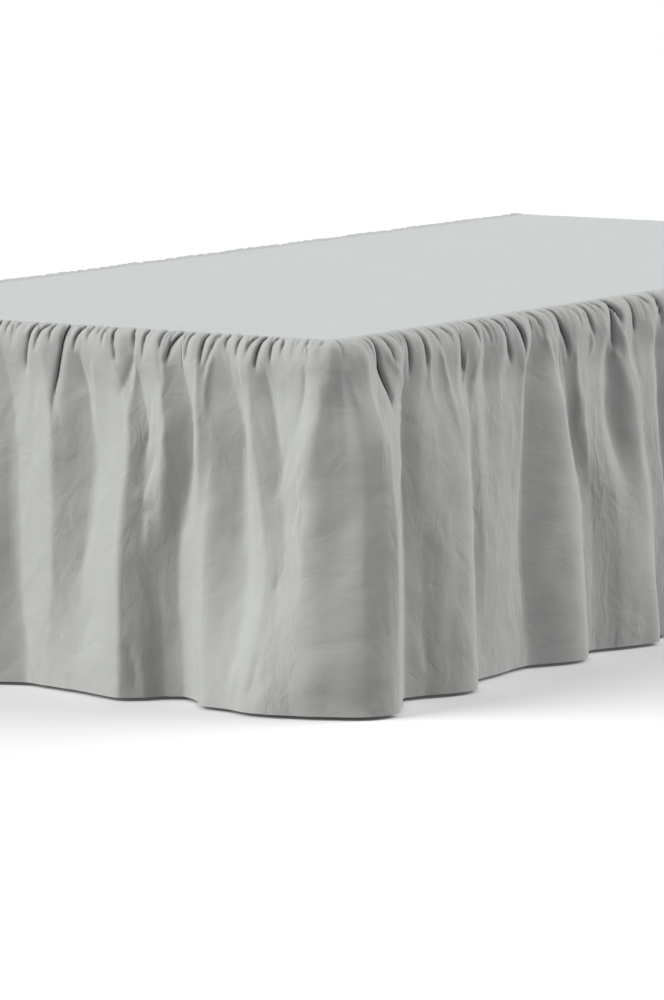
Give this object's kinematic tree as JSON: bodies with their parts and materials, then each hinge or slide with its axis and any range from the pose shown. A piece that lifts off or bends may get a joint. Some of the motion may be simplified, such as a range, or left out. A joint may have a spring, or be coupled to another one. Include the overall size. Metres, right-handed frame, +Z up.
{
  "type": "bed skirt on a bed base",
  "caption": "Gathered bed skirt: a flat deck panel on a plain single bed base, with one strip gathered round the foot and both long sides, hanging in uneven folds to the floor.",
  "frame": {"origin": "on the floor, at the middle of the footprint's box", "axes": "+Z up, +Y along the bed towards the open head end, +X across the bed towards the side whose folds are modelled from the picture"},
  "size_m": [1.0432, 2.081, 0.5067],
  "materials": {
    "ruffle_cloth": "crisp plain-woven cotton in light grey, matt with a faint sheen",
    "deck_cloth": "the same light grey cotton lying flat, matt",
    "base_cover": "plain pale woven cover, matt",
    "leg_wood": "oiled beech, satin"
  },
  "bodies": {
    "root": {"ruffle": "ruffle_cloth", "deck_panel": "deck_cloth", "bed_base": "base_cover", "leg_foot_near": "leg_wood", "leg_foot_far": "leg_wood", "leg_head_near": "leg_wood", "leg_head_far": "leg_wood"}
  },
  "joints": []
}
